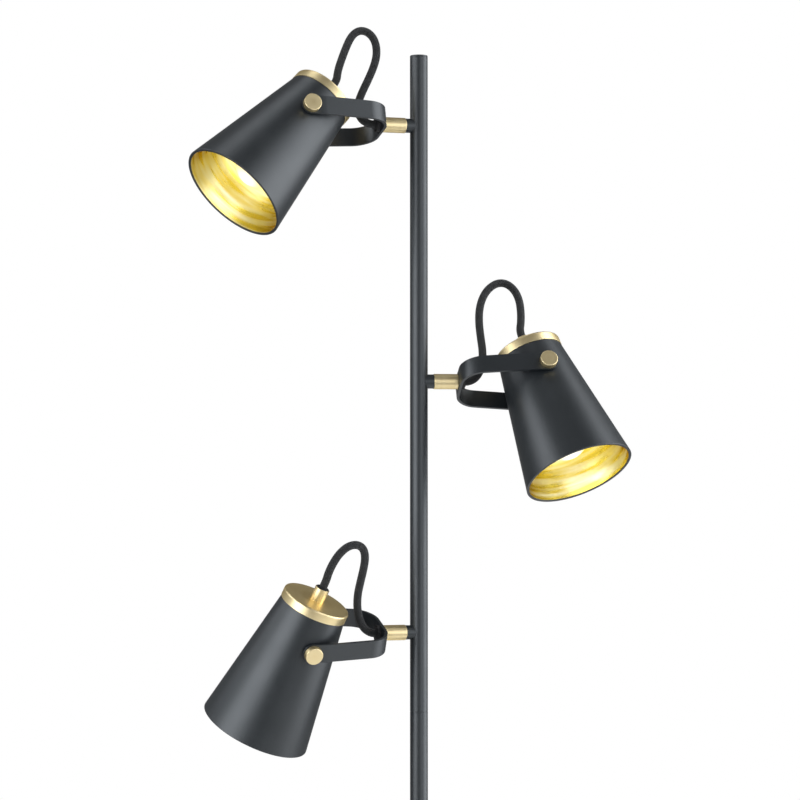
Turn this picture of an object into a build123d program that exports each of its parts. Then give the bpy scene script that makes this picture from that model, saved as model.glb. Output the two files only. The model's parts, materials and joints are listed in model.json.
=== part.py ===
"""Floor lamp: three tilting spot heads on a slim pole over a round weighted base.

Millimetres, +Z up. The origin is the middle of the base's underside, on the pole's axis.
The heads stand as photographed: each turns about its arm and tilts about its yoke's pivots.
"""
import os
from math import cos, pi, radians, sin, tan

from build123d import *

# Stand
TOTAL_HEIGHT = 1500.0
POLE_D = 16.0
POLE_WALL = 1.2
POLE_EDGE = 0.35
POLE_CAP_H = 1.6
POLE_CAP_EDGE = 0.7
POLE_CAP_PLUG = 8.0
SEAM_BELOW_ARM = 71.0
JOINER_LENGTH = 60.0
JOINER_BORE = 9.0
FOOT_LENGTH = 26.0

# Base
BASE_D = 260.0
BASE_HEIGHT = 18.0
BASE_EDGE_R = 5.0
COVER_WALL = 1.2
PAD_T = 2.0
PAD_INSET = 5.0
WEIGHT_GAP = 0.5
RECESS_D = 66.0
RECESS_DEPTH = 9.0
CHANNEL_W = 11.0
CHANNEL_DEPTH = 11.0
TERMINAL_SIZE = (24.0, 14.0, 7.5)
TERMINAL_BORE = 3.4
TERMINAL_PITCH = 7.5
TERMINAL_WAYS = 3
TERMINAL_OFFSET = 21.0
INLET_HEIGHT = 8.0
INLET_BORE = 6.2
INLET_BODY_D = 8.6
INLET_FLANGE_D = 10.2
INLET_FLANGE_T = 1.5
INLET_TAIL = 3.0

# Threaded tubes and nuts
TUBE_D = 10.0
POLE_NUT_AF = 17.0
POLE_NUT_T = 5.0
POLE_WASHER_D = 26.0
POLE_WASHER_T = 1.5
TUBE_PROUD = 1.0
ARM_NUT_AF = 14.0
ARM_NUT_T = 3.0

# Fits
FIT = 0.05
FACE_GAP = 0.1

# Arms
POLE_ABOVE_ARM = 64.0
UPPER_SPACING = 230.7
LOWER_SPACING = 225.3
STUB_D = 12.8
STUB_LENGTH = 5.4
COLLAR_D = 13.8
COLLAR_LENGTH = 22.1
COLLAR_EDGE = 0.5

# Yokes
STRIP_W = 16.8
STRIP_T = 2.5
YOKE_REACH = 76.3
YOKE_BACK_W = 59.0
YOKE_BEND_R = 21.0
EAR_STRAIGHT = 12.0
EAR_BEND_R = 40.0
EAR_CLEARANCE = 0.4

# Shades
SHADE_MOUTH_D = 100.0
SHADE_TOP_D = 60.6
PIVOT_TO_MOUTH = 96.8
PIVOT_TO_TOP = 27.0
SHADE_WALL = 1.0
SHADE_TOP_T = 1.2
LIP_WIDTH = 2.6
LIP_T = 1.0
LIP_EDGE = 0.6
CAP_D = 61.6
CAP_H = 8.4
CAP_WALL = 2.2
CAP_EDGE_R = 1.6
GLAND_D = 13.0
GLAND_LENGTH = 12.0
GLAND_EDGE = 0.4
GLAND_THREAD = 7.5
GRIP_D = 11.6
GRIP_H = 1.6
GRIP_SEAT = 1.0

# Pivots
SCREW_D = 5.0
KNOB_D = 15.6
KNOB_T = 5.4
KNOB_EDGE = 0.6
SPACER_D = 10.0
PIVOT_NUT_AF = 8.0
PIVOT_NUT_T = 4.0
PIVOT_NUT_CLEARANCE = 1.0
SCREW_PROUD = 1.0

# Lampholders and bulbs
HOLDER_D = 27.0
HOLDER_LENGTH = 50.0
HOLDER_SKIRT_D = 24.0
HOLDER_SHOULDER = 20.0
HOLDER_THREAD = 9.0
SOCKET_DEPTH = 25.5
BULB_BASE_D = 13.8
BULB_BASE_LENGTH = 24.0
BULB_CONTACT_D = 6.0
BULB_CONTACT_H = 1.5
SOCKET_GAP = 0.2
BULB_D = 45.0
BULB_WALL = 0.8
BULB_NECK_ANGLE = 30.0
BULB_GLASS_LENGTH = 54.2
BULB_FLANGE_T = 1.0

# Cords
CORD_D = 7.2
CORD_CLEARANCE = 0.1
CORD_IN_TUBE = 2.6
CORD_IN_GRIP = 1.2
CORD_STRAIGHT = 8.0
CORD_ARC_SHARE = 0.45

# Heads, from the top down: direction of the arm about the pole, turn about the arm and tilt below
# straight out, in degrees
HEAD_NAMES = ["top", "middle", "bottom"]
ARM_ANGLES = [198.35, 8.36, 200.04]
TURN_ANGLES = [15.55, -27.48, -23.23]
TILT_ANGLES = [46.84, 74.30, 71.73]

# Cord routes in the yokes' middle planes: out from the pole's axis, and up
TOP_ROUTE = [(46, 0), (53, 2.8), (56.8, 10), (56, 20), (51, 31), (44.5, 43), (38.5, 55), (34.5, 66),
             (33.6, 76), (35.5, 84.5), (40.5, 90.2), (47, 91.8), (53.2, 89), (58.5, 82.5),
             (63.4, 72.5), (68.4, 61), (72.6, 50)]
MIDDLE_ROUTE = [(45, 0), (51, 2.6), (56.2, 9.4), (59.8, 19.5), (61, 32.5), (60.3, 47), (60, 61), (61.2, 75),
                (65, 88), (71.4, 98.4), (80, 104.9), (88.7, 105), (95.9, 98.3), (99.7, 87.5), (100.2, 75),
                (99.2, 63)]
BOTTOM_ROUTE = [(45.5, 0), (52.5, 4), (58.4, 13), (62.2, 25), (63.6, 38), (62.6, 51), (61.4, 63),
                (61.2, 74), (64, 82.8), (70.5, 87), (78.5, 85.6), (85.6, 78.8), (90.4, 69.6), (93.6, 60)]
CORD_ROUTES = [TOP_ROUTE, MIDDLE_ROUTE, BOTTOM_ROUTE]

# Worked out from the sizes above
POLE_R = POLE_D / 2
POLE_BORE_R = POLE_R - POLE_WALL
POLE_TOP = TOTAL_HEIGHT - POLE_CAP_H
TOP_ARM = TOTAL_HEIGHT - POLE_ABOVE_ARM
ARM_HEIGHTS = [TOP_ARM, TOP_ARM - UPPER_SPACING, TOP_ARM - UPPER_SPACING - LOWER_SPACING]
SEAM_HEIGHT = ARM_HEIGHTS[-1] - SEAM_BELOW_ARM
WEIGHT_TOP = BASE_HEIGHT - COVER_WALL
WEIGHT_R = BASE_D / 2 - COVER_WALL - WEIGHT_GAP
RECESS_TOP = PAD_T + RECESS_DEPTH
TUBE_R = TUBE_D / 2
TUBE_BORE = CORD_D + 2 * CORD_CLEARANCE
TUBE_HOLE_R = TUBE_R + FIT
COLLAR_START = POLE_R + STUB_LENGTH
YOKE_BACK = COLLAR_START + COLLAR_LENGTH + FACE_GAP
YOKE_INSIDE = YOKE_BACK + STRIP_T
ARM_TUBE_END = YOKE_INSIDE + FACE_GAP + ARM_NUT_T + TUBE_PROUD
PIVOT_X = YOKE_BACK + YOKE_REACH
EAR_R = STRIP_W / 2
SHADE_SLOPE = (SHADE_MOUTH_D - SHADE_TOP_D) / 2 / (PIVOT_TO_MOUTH + PIVOT_TO_TOP)
CAP_TOP = -PIVOT_TO_TOP - CAP_H
GLAND_TOP = CAP_TOP - GLAND_LENGTH
GRIP_BOTTOM = GLAND_TOP + GRIP_SEAT
GRIP_TOP = GRIP_BOTTOM - GRIP_H
HOLDER_TOP = -PIVOT_TO_TOP + SHADE_TOP_T
HOLDER_END = HOLDER_TOP + HOLDER_LENGTH
BULB_SEAT = HOLDER_END + SOCKET_GAP
SCREW_R = SCREW_D / 2
SCREW_HOLE_R = SCREW_R + FIT
CORD_HOLE_R = CORD_D / 2 + CORD_CLEARANCE


def shade_radius(along):
    """Outside radius of a shade, at a distance from its pivots towards its mouth."""
    return SHADE_TOP_D / 2 + SHADE_SLOPE * (along + PIVOT_TO_TOP)


EAR_INSIDE = shade_radius(EAR_R) + EAR_CLEARANCE
EAR_OUTSIDE = EAR_INSIDE + STRIP_T
PIVOT_NUT_FACE = shade_radius(0) - SHADE_WALL - PIVOT_NUT_CLEARANCE


def save(piece, name):
    """Label a finished piece and write it under its name."""
    piece.part.label = name
    export_step(piece.part, f"parts/{name}.step")


def turned(plane, outline):
    """A solid turned about the plane's x axis, from corners given as along and radius."""
    with BuildPart() as piece:
        with BuildSketch(plane):
            with BuildLine():
                Polyline(*outline, close=True)
            make_face()
        revolve(axis=Axis(plane.origin, plane.x_dir))
    return piece


def arm_frame(direction, height):
    """Frame of an arm: x out along the arm from the pole's axis, z up."""
    out = (cos(radians(direction)), sin(radians(direction)), 0)
    return Plane(origin=(0, 0, height), x_dir=out, z_dir=(0, 0, 1))


def yoke_frame(arm, turn):
    """Frame of a yoke: the arm's, turned about the arm."""
    return arm.moved(Rotation(turn, 0, 0))


def shade_frame(yoke, tilt):
    """Frame of a shade: origin between the pivots, x towards the mouth, y along the pivots."""
    return yoke.moved(Location((PIVOT_X, 0, 0), (0, tilt, 0)))


def side_plane(frame):
    """The plane through a frame's x and z axes."""
    return Plane(origin=frame.origin, x_dir=frame.x_dir, z_dir=-frame.y_dir)


def pivot_plane(frame, side):
    """Plane whose x axis runs out along one pivot of a shade."""
    return Plane(origin=frame.origin, x_dir=frame.y_dir * side, z_dir=frame.z_dir)


def pole_tube(low, high):
    """A plain stretch of the pole with its end edges eased."""
    with BuildPart() as tube:
        with BuildSketch(Plane.XY.offset(low)):
            Circle(POLE_R)
            Circle(POLE_BORE_R, mode=Mode.SUBTRACT)
        extrude(amount=high - low)
        chamfer(tube.edges().filter_by(GeomType.CIRCLE).group_by(SortBy.RADIUS)[-1], POLE_EDGE)
    return tube


os.makedirs("parts", exist_ok=True)
upright = Plane(origin=(0, 0, 0), x_dir=(0, 0, 1), z_dir=(0, -1, 0))

# Base pad
with BuildPart() as base_pad:
    Cylinder(BASE_D / 2 - PAD_INSET, PAD_T, align=(Align.CENTER, Align.CENTER, Align.MIN))
save(base_pad, "base_pad")

# Base weight, with the recess for the nut and the terminals and a channel for the lead underneath
with BuildPart() as base_weight:
    with BuildSketch(Plane.XY.offset(PAD_T)):
        Circle(WEIGHT_R)
    extrude(amount=WEIGHT_TOP - PAD_T)
    fillet(base_weight.edges().group_by(Axis.Z)[-1], BASE_EDGE_R)
    with BuildSketch(Plane.XY.offset(PAD_T)):
        Circle(RECESS_D / 2)
    extrude(amount=RECESS_DEPTH, mode=Mode.SUBTRACT)
    with BuildSketch(Plane.XY.offset(PAD_T)):
        Rectangle(CHANNEL_W, BASE_D, align=(Align.CENTER, Align.MIN))
    extrude(amount=CHANNEL_DEPTH, mode=Mode.SUBTRACT)
    with BuildSketch(Plane.XY):
        Circle(TUBE_HOLE_R)
    extrude(amount=BASE_HEIGHT, mode=Mode.SUBTRACT)
save(base_weight, "base_weight")

# Base cover
with BuildPart() as base_cover:
    with BuildSketch(Plane.XY.offset(PAD_T)):
        Circle(BASE_D / 2)
    extrude(amount=BASE_HEIGHT - PAD_T)
    fillet(base_cover.edges().group_by(Axis.Z)[-1], BASE_EDGE_R)
    offset(amount=-COVER_WALL, openings=base_cover.faces().sort_by(Axis.Z)[0])
    with BuildSketch(Plane.XY):
        Circle(TUBE_HOLE_R)
    extrude(amount=BASE_HEIGHT, mode=Mode.SUBTRACT)
    with BuildSketch(Plane.XZ):
        with Locations((0, INLET_HEIGHT)):
            Circle(INLET_BODY_D / 2 + FIT)
    extrude(amount=-BASE_D, mode=Mode.SUBTRACT)
save(base_cover, "base_cover")

# Rubber bush where the mains lead goes in, at the back
inlet = Plane(origin=(0, BASE_D / 2, INLET_HEIGHT), x_dir=(0, 1, 0), z_dir=(1, 0, 0))
cord_bush = turned(inlet, [
    (-COVER_WALL - INLET_TAIL, INLET_BORE / 2), (INLET_FLANGE_T, INLET_BORE / 2),
    (INLET_FLANGE_T, INLET_FLANGE_D / 2), (0, INLET_FLANGE_D / 2),
    (0, INLET_BODY_D / 2), (-COVER_WALL - INLET_TAIL, INLET_BODY_D / 2)])
save(cord_bush, "cord_bush")

# Terminal block, up against the recess
with BuildPart() as terminal_block:
    with BuildSketch(Plane.XY.offset(RECESS_TOP - TERMINAL_SIZE[2])):
        with Locations((TERMINAL_OFFSET, 0)):
            Rectangle(TERMINAL_SIZE[1], TERMINAL_SIZE[0])
    extrude(amount=TERMINAL_SIZE[2])
    with BuildSketch(Plane.YZ):
        with Locations((0, RECESS_TOP - TERMINAL_SIZE[2] / 2)):
            with GridLocations(TERMINAL_PITCH, 0, TERMINAL_WAYS, 1):
                Circle(TERMINAL_BORE / 2)
    extrude(amount=RECESS_D, mode=Mode.SUBTRACT)
save(terminal_block, "terminal_block")

# Threaded tube that ties the pole to the base, with its washer and nut
nut_top = RECESS_TOP - POLE_WASHER_T
nut_bottom = nut_top - POLE_NUT_T
pole_nipple = turned(upright, [
    (nut_bottom - TUBE_PROUD, TUBE_BORE / 2), (BASE_HEIGHT + FOOT_LENGTH, TUBE_BORE / 2),
    (BASE_HEIGHT + FOOT_LENGTH, TUBE_R), (nut_bottom - TUBE_PROUD, TUBE_R)])
save(pole_nipple, "pole_nipple")

pole_washer = turned(upright, [
    (nut_top, TUBE_HOLE_R), (RECESS_TOP, TUBE_HOLE_R),
    (RECESS_TOP, POLE_WASHER_D / 2), (nut_top, POLE_WASHER_D / 2)])
save(pole_washer, "pole_washer")

with BuildPart() as pole_nut:
    with BuildSketch(Plane.XY.offset(nut_bottom)):
        RegularPolygon(POLE_NUT_AF / 2, 6, major_radius=False)
        Circle(TUBE_HOLE_R, mode=Mode.SUBTRACT)
    extrude(amount=POLE_NUT_T)
save(pole_nut, "pole_nut")

# Pole: foot bush, two tubes, the plug that joins them and the end cap
pole_foot = turned(upright, [
    (BASE_HEIGHT, TUBE_HOLE_R), (BASE_HEIGHT + FOOT_LENGTH, TUBE_HOLE_R),
    (BASE_HEIGHT + FOOT_LENGTH, POLE_BORE_R - FIT), (BASE_HEIGHT, POLE_BORE_R - FIT)])
save(pole_foot, "pole_foot")

pole_lower = pole_tube(BASE_HEIGHT, SEAM_HEIGHT)
save(pole_lower, "pole_lower")

joiner_low = SEAM_HEIGHT - JOINER_LENGTH / 2
joiner_high = SEAM_HEIGHT + JOINER_LENGTH / 2
pole_joiner = turned(upright, [
    (joiner_low, JOINER_BORE / 2), (joiner_high, JOINER_BORE / 2),
    (joiner_high, POLE_BORE_R - FIT), (joiner_low, POLE_BORE_R - FIT)])
save(pole_joiner, "pole_joiner")

with BuildPart() as pole_upper:
    add(pole_tube(SEAM_HEIGHT, POLE_TOP).part)
    for direction, height in zip(ARM_ANGLES, ARM_HEIGHTS):
        arm = arm_frame(direction, height)
        with BuildSketch(Plane(origin=arm.origin, z_dir=arm.x_dir)):
            Circle(TUBE_HOLE_R)
        extrude(amount=POLE_D, mode=Mode.SUBTRACT)
save(pole_upper, "pole_upper")

pole_cap = turned(upright, [
    (POLE_TOP - POLE_CAP_PLUG, 0), (POLE_TOP - POLE_CAP_PLUG, POLE_BORE_R - FIT),
    (POLE_TOP, POLE_BORE_R - FIT), (POLE_TOP, POLE_R),
    (TOTAL_HEIGHT - POLE_CAP_EDGE, POLE_R), (TOTAL_HEIGHT, POLE_R - POLE_CAP_EDGE), (TOTAL_HEIGHT, 0)])
save(pole_cap, "pole_cap")


def make_arm_stub(arm):
    """Stub welded to the pole, saddled to its round side and bored for the threaded tube."""
    with BuildPart() as stub:
        with BuildSketch(Plane(origin=arm.origin, z_dir=arm.x_dir)):
            Circle(STUB_D / 2)
            Circle(TUBE_HOLE_R, mode=Mode.SUBTRACT)
        extrude(amount=COLLAR_START)
        with BuildSketch(Plane.XY.offset(arm.origin.Z - STUB_D)):
            Circle(POLE_R + FIT / 2)
        extrude(amount=2 * STUB_D, mode=Mode.SUBTRACT)
    return stub


def make_arm_collar(arm):
    """Brass sleeve between the stub and the yoke."""
    end = COLLAR_START + COLLAR_LENGTH
    outer = COLLAR_D / 2
    return turned(side_plane(arm), [
        (COLLAR_START, TUBE_HOLE_R), (COLLAR_START, outer - COLLAR_EDGE), (COLLAR_START + COLLAR_EDGE, outer),
        (end - COLLAR_EDGE, outer), (end, outer - COLLAR_EDGE), (end, TUBE_HOLE_R)])


def make_yoke(yoke):
    """Flat strip bent to a U, with round ears at its pivots."""
    middle = YOKE_BACK + STRIP_T / 2
    ear_y = EAR_INSIDE + STRIP_T / 2
    tip = PIVOT_X + 2 * EAR_R
    half = [(tip, ear_y), (PIVOT_X - EAR_STRAIGHT, ear_y), (middle, YOKE_BACK_W / 2)]
    corners = half + [(x, -y) for x, y in reversed(half)]
    with BuildPart() as strip:
        with BuildSketch(yoke):
            with BuildLine():
                FilletPolyline(*corners, radius=[EAR_BEND_R, YOKE_BEND_R, YOKE_BEND_R, EAR_BEND_R])
            trace(line_width=STRIP_T)
        extrude(amount=EAR_R, both=True)
        with BuildSketch(side_plane(yoke)):
            Rectangle(PIVOT_X, STRIP_W, align=(Align.MIN, Align.CENTER))
            with Locations((PIVOT_X, 0)):
                Circle(EAR_R)
        extrude(amount=EAR_OUTSIDE + STRIP_T, both=True, mode=Mode.INTERSECT)
        with BuildSketch(side_plane(yoke)):
            with Locations((PIVOT_X, 0)):
                Circle(SCREW_HOLE_R)
        extrude(amount=EAR_OUTSIDE + STRIP_T, both=True, mode=Mode.SUBTRACT)
        with BuildSketch(Plane(origin=yoke.origin, z_dir=yoke.x_dir)):
            Circle(TUBE_HOLE_R)
        extrude(amount=PIVOT_X - EAR_R, mode=Mode.SUBTRACT)
    return strip


def make_shade(frame):
    """Cone with a closed top and a turned-in lip at its mouth, drilled for the pivots."""
    wall = SHADE_WALL * (1 + SHADE_SLOPE ** 2) ** 0.5
    lip_back = PIVOT_TO_MOUTH - LIP_T
    mouth_r = shade_radius(PIVOT_TO_MOUTH)
    with BuildPart() as shade:
        with BuildSketch(frame):
            with BuildLine():
                Polyline(
                    (-PIVOT_TO_TOP, TUBE_HOLE_R), (-PIVOT_TO_TOP, shade_radius(-PIVOT_TO_TOP)),
                    (PIVOT_TO_MOUTH - LIP_EDGE, shade_radius(PIVOT_TO_MOUTH - LIP_EDGE)),
                    (PIVOT_TO_MOUTH, mouth_r - LIP_EDGE), (PIVOT_TO_MOUTH, mouth_r - LIP_WIDTH),
                    (lip_back, mouth_r - LIP_WIDTH), (lip_back, shade_radius(lip_back) - wall),
                    (HOLDER_TOP, shade_radius(HOLDER_TOP) - wall), (HOLDER_TOP, TUBE_HOLE_R), close=True)
            make_face()
        revolve(axis=Axis(frame.origin, frame.x_dir))
        with BuildSketch(Plane(origin=frame.origin, z_dir=frame.y_dir)):
            Circle(SCREW_HOLE_R)
        extrude(amount=SHADE_MOUTH_D, both=True, mode=Mode.SUBTRACT)
    return shade


def make_shade_cap(frame):
    """Brass cup over the top of a shade, with a rounded edge."""
    with BuildPart() as cap:
        with BuildSketch(frame):
            with BuildLine():
                Polyline(
                    (-PIVOT_TO_TOP, CAP_D / 2), (CAP_TOP, CAP_D / 2), (CAP_TOP, TUBE_HOLE_R),
                    (CAP_TOP + CAP_WALL, TUBE_HOLE_R), (CAP_TOP + CAP_WALL, CAP_D / 2 - CAP_WALL),
                    (-PIVOT_TO_TOP, CAP_D / 2 - CAP_WALL), close=True)
            make_face()
        revolve(axis=Axis(frame.origin, frame.x_dir))
        rims = cap.edges().filter_by(GeomType.CIRCLE).group_by(SortBy.RADIUS)[-1]
        mouth_point = frame.from_local_coords(Vector(PIVOT_TO_MOUTH, 0, 0))
        fillet(rims.sort_by_distance(mouth_point)[-1], CAP_EDGE_R)
    return cap


def make_cord_gland(frame):
    """Brass gland on the cap, threaded below and bored for the cord and its grip above."""
    outer = GLAND_D / 2
    grip_r = GRIP_D / 2 + FIT
    thread_end = CAP_TOP - GLAND_THREAD
    return turned(frame, [
        (CAP_TOP, TUBE_HOLE_R), (CAP_TOP, outer), (GLAND_TOP + GLAND_EDGE, outer),
        (GLAND_TOP, outer - GLAND_EDGE), (GLAND_TOP, grip_r), (GRIP_BOTTOM, grip_r),
        (GRIP_BOTTOM, CORD_HOLE_R), (thread_end, CORD_HOLE_R), (thread_end, TUBE_HOLE_R)])


def make_cord_grip(frame):
    """Black ring round the cord in the top of its gland."""
    return turned(frame, [
        (GRIP_BOTTOM, CORD_HOLE_R), (GRIP_BOTTOM, GRIP_D / 2),
        (GRIP_TOP, GRIP_D / 2), (GRIP_TOP, CORD_HOLE_R)])


def make_holder_nipple(frame):
    """Threaded tube from the gland through the cap and shade into the lampholder."""
    low = CAP_TOP - GLAND_THREAD
    high = HOLDER_TOP + HOLDER_THREAD
    return turned(frame, [(low, TUBE_BORE / 2), (low, TUBE_R), (high, TUBE_R), (high, TUBE_BORE / 2)])


def make_lampholder(frame):
    """Lampholder: a wide cap, a narrower skirt and the socket for the bulb."""
    shoulder = HOLDER_TOP + HOLDER_SHOULDER
    thread_end = HOLDER_TOP + HOLDER_THREAD
    socket_r = BULB_BASE_D / 2 + SOCKET_GAP
    socket_start = HOLDER_END - SOCKET_DEPTH
    return turned(frame, [
        (HOLDER_TOP, TUBE_HOLE_R), (HOLDER_TOP, HOLDER_D / 2), (shoulder, HOLDER_D / 2),
        (shoulder, HOLDER_SKIRT_D / 2), (HOLDER_END, HOLDER_SKIRT_D / 2), (HOLDER_END, socket_r),
        (socket_start, socket_r), (socket_start, TUBE_BORE / 2), (thread_end, TUBE_BORE / 2),
        (thread_end, TUBE_HOLE_R)])


def bulb_neck_radius():
    """Radius where the bulb's sloping neck meets its metal base."""
    angle = radians(BULB_NECK_ANGLE)
    middle = BULB_GLASS_LENGTH - BULB_D / 2
    return BULB_D / 2 * cos(angle) - (middle - BULB_D / 2 * sin(angle)) * tan(angle)


def make_bulb_base(frame):
    """Screw base of the bulb, with its contact and the flange under the glass."""
    start = BULB_SEAT - BULB_BASE_LENGTH
    base_r = BULB_BASE_D / 2
    flange = BULB_SEAT + BULB_FLANGE_T
    flange_r = max(base_r + SOCKET_GAP, bulb_neck_radius())
    return turned(frame, [
        (start, 0), (start, BULB_CONTACT_D / 2), (start + BULB_CONTACT_H, base_r - BULB_CONTACT_H),
        (start + 2 * BULB_CONTACT_H, base_r), (BULB_SEAT, base_r), (BULB_SEAT, flange_r), (flange, flange_r),
        (flange, 0)])


def make_bulb_glass(frame):
    """Hollow globe with a neck that runs tangent into it."""
    angle = radians(BULB_NECK_ANGLE)
    start = BULB_SEAT + BULB_FLANGE_T
    radius = BULB_D / 2
    inner = radius - BULB_WALL
    middle = start + BULB_GLASS_LENGTH - radius
    neck = bulb_neck_radius()
    neck_inside = neck - BULB_WALL / cos(angle)
    with BuildPart() as glass:
        with BuildSketch(frame):
            with BuildLine():
                outside = Line((start, neck), (middle - radius * sin(angle), radius * cos(angle)))
                CenterArc((middle, 0), radius, 90 + BULB_NECK_ANGLE, -90 - BULB_NECK_ANGLE)
                Line((middle + radius, 0), (middle + inner, 0))
                CenterArc((middle, 0), inner, 0, 90 + BULB_NECK_ANGLE)
                Line((middle - inner * sin(angle), inner * cos(angle)), (start, neck_inside))
                Line((start, neck_inside), outside @ 0)
            make_face()
        revolve(axis=Axis(frame.origin, frame.x_dir))
    return glass


def make_pivot_screws(frame):
    """Brass knobs with their threaded shanks."""
    head = EAR_OUTSIDE + FACE_GAP
    tip = PIVOT_NUT_FACE - PIVOT_NUT_T - SCREW_PROUD
    knob_r = KNOB_D / 2
    with BuildPart() as screws:
        for side in (1, -1):
            add(turned(pivot_plane(frame, side), [
                (tip, 0), (tip, SCREW_R), (head, SCREW_R), (head, knob_r),
                (head + KNOB_T - KNOB_EDGE, knob_r), (head + KNOB_T, knob_r - KNOB_EDGE),
                (head + KNOB_T, 0)]).part)
    return screws


def make_pivot_spacers(frame):
    """Rings between the shade and the ears, hollowed to the shade's cone."""
    low = shade_radius(-SPACER_D) - SPACER_D
    high = EAR_INSIDE - FACE_GAP
    with BuildPart() as spacers:
        for side in (1, -1):
            add(turned(pivot_plane(frame, side), [
                (low, SCREW_HOLE_R), (low, SPACER_D / 2), (high, SPACER_D / 2), (high, SCREW_HOLE_R)]).part)
        add(turned(frame, [
            (-PIVOT_TO_TOP, 0), (-PIVOT_TO_TOP, shade_radius(-PIVOT_TO_TOP) + FIT),
            (PIVOT_TO_MOUTH, shade_radius(PIVOT_TO_MOUTH) + FIT), (PIVOT_TO_MOUTH, 0)]).part,
            mode=Mode.SUBTRACT)
    return spacers


def make_pivot_nuts(frame):
    """Nuts on the pivot screws, inside the shade."""
    with BuildPart() as nuts:
        for side in (1, -1):
            plane = pivot_plane(frame, side)
            face = Plane(origin=plane.from_local_coords(Vector(PIVOT_NUT_FACE, 0, 0)), z_dir=-plane.x_dir)
            with BuildSketch(face):
                RegularPolygon(PIVOT_NUT_AF / 2, 6, major_radius=False)
                Circle(SCREW_HOLE_R, mode=Mode.SUBTRACT)
            extrude(amount=PIVOT_NUT_T)
    return nuts


def cord_points(tilt, route):
    """The cord's route from inside the arm's tube to inside the grip, straight at both ends."""
    back = (-cos(radians(tilt)), sin(radians(tilt)))
    seat = -GRIP_TOP - CORD_IN_GRIP
    ends = [(PIVOT_X + back[0] * reach, back[1] * reach) for reach in (seat + CORD_STRAIGHT, seat)]
    return [(ARM_TUBE_END - CORD_IN_TUBE, 0)] + route + ends


def cord_radii(points):
    """The largest bends that the runs of a route leave room for."""
    radii = []
    for before, corner, after in zip(points, points[1:], points[2:]):
        first = Vector(corner) - Vector(before)
        second = Vector(after) - Vector(corner)
        half_turn = radians(first.get_angle(second)) / 2
        radii.append(CORD_ARC_SHARE * min(first.length, second.length) / tan(half_turn))
    return radii


def make_flex_cord(name, yoke, tilt, route):
    """Cord that loops from the yoke's back over to the gland."""
    points = cord_points(tilt, route)
    radii = cord_radii(points)
    with BuildPart() as cord:
        with BuildLine(side_plane(yoke)) as path:
            FilletPolyline(*points, radius=radii)
        with BuildSketch(Plane(origin=path.wire() @ 0, z_dir=path.wire() % 0)):
            Circle(CORD_D / 2)
        sweep()
    length = path.wire().length
    share = cord.part.volume / (pi * CORD_D ** 2 / 4 * length)
    print(f"{name} cord: length {length:.1f}, radii {min(radii):.1f} to {max(radii):.1f}, "
          f"volume share {share:.4f}")
    return cord


# Heads
arm_tubes = []
arm_nuts = []
heads = zip(HEAD_NAMES, ARM_HEIGHTS, ARM_ANGLES, TURN_ANGLES, TILT_ANGLES, CORD_ROUTES)
for name, height, direction, turn, tilt, route in heads:
    arm = arm_frame(direction, height)
    yoke = yoke_frame(arm, turn)
    shade = shade_frame(yoke, tilt)
    arm_tubes.append(turned(side_plane(arm), [
        (POLE_BORE_R, TUBE_BORE / 2), (POLE_BORE_R, TUBE_R),
        (ARM_TUBE_END, TUBE_R), (ARM_TUBE_END, TUBE_BORE / 2)]).part)
    nut_seat = arm.from_local_coords(Vector(YOKE_INSIDE + FACE_GAP, 0, 0))
    arm_nuts.append(Plane(origin=nut_seat, z_dir=arm.x_dir))
    save(make_arm_stub(arm), f"{name}_arm_stub")
    save(make_arm_collar(arm), f"{name}_arm_collar")
    save(make_yoke(yoke), f"{name}_yoke")
    save(make_shade(shade), f"{name}_shade")
    save(make_shade_cap(shade), f"{name}_shade_cap")
    save(make_cord_gland(shade), f"{name}_cord_gland")
    save(make_cord_grip(shade), f"{name}_cord_grip")
    save(make_holder_nipple(shade), f"{name}_holder_nipple")
    save(make_lampholder(shade), f"{name}_lampholder")
    save(make_bulb_base(shade), f"{name}_bulb_base")
    save(make_bulb_glass(shade), f"{name}_bulb_glass")
    save(make_pivot_screws(shade), f"{name}_pivot_screws")
    save(make_pivot_spacers(shade), f"{name}_pivot_spacers")
    save(make_pivot_nuts(shade), f"{name}_pivot_nuts")
    save(make_flex_cord(name, yoke, tilt, route), f"{name}_flex_cord")

# Threaded tubes of the arms, and the nuts that hold the yokes on them
with BuildPart() as arm_nipples:
    add(arm_tubes)
save(arm_nipples, "arm_nipples")

with BuildPart() as yoke_nuts:
    for face in arm_nuts:
        with BuildSketch(face):
            RegularPolygon(ARM_NUT_AF / 2, 6, major_radius=False)
            Circle(TUBE_HOLE_R, mode=Mode.SUBTRACT)
        extrude(amount=ARM_NUT_T)
save(yoke_nuts, "yoke_nuts")
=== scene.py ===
"""Looks of a floor lamp with three spot heads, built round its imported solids. Metres, +Z up."""
import json
from itertools import accumulate
from math import atan2, cos, hypot, pi, radians, sin, sqrt, tan

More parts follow.
